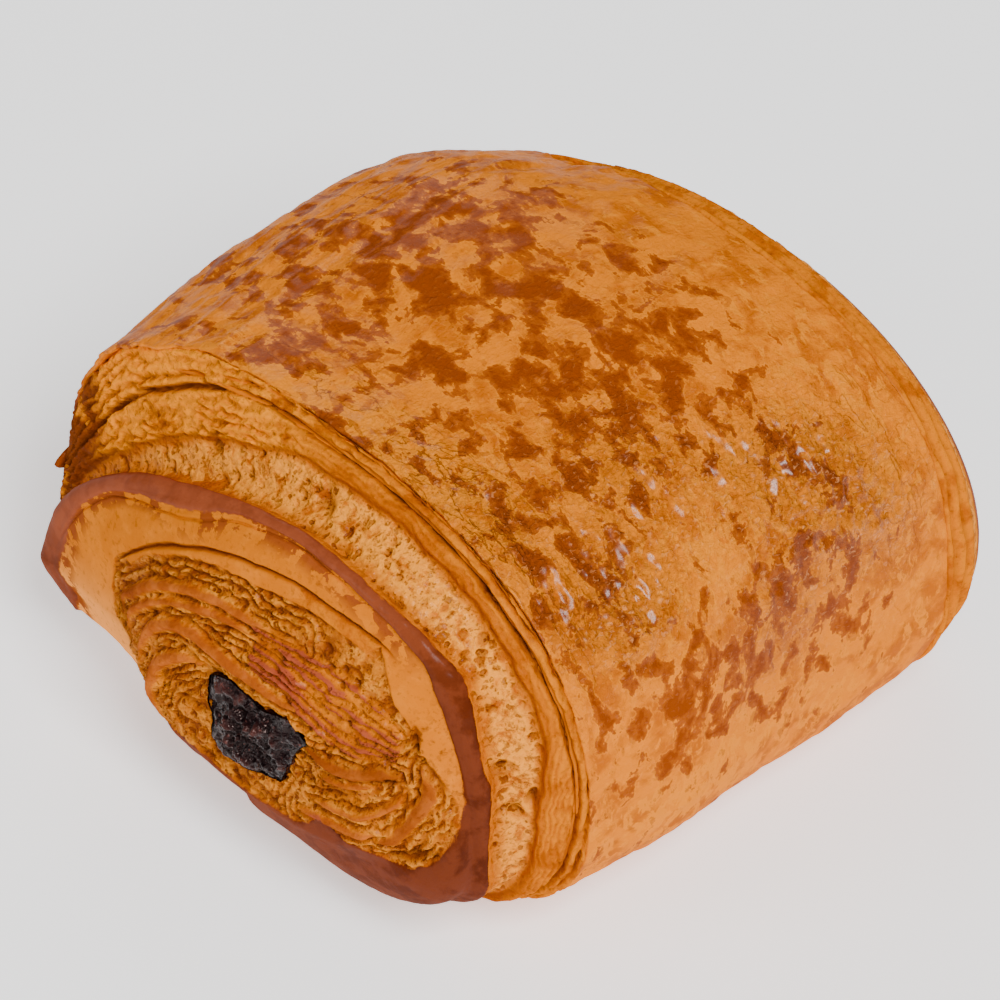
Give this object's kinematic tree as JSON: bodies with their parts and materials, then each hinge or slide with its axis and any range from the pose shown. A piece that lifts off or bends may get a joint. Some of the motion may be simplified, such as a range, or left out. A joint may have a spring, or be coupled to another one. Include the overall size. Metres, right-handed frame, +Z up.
{
  "type": "mini pain au chocolat",
  "caption": "Small rolled laminated pastry with a glazed barrel, open spiral ends and a dark chocolate stick through its middle.",
  "frame": {"origin": "middle of the flat underside, at the centre of the part's box", "axes": "+Y along the roll's axis, with the shown spiral end at -Y; +X across the roll; +Z up from the flat underside"},
  "size_m": [0.0631, 0.066, 0.0431],
  "materials": {
    "golden_crust": "egg-glazed baked crust, satin to glossy",
    "dark_chocolate": "rough broken dark chocolate"
  },
  "bodies": {
    "root": {"pastry_roll": "golden_crust", "chocolate_stick": "dark_chocolate"}
  },
  "joints": []
}
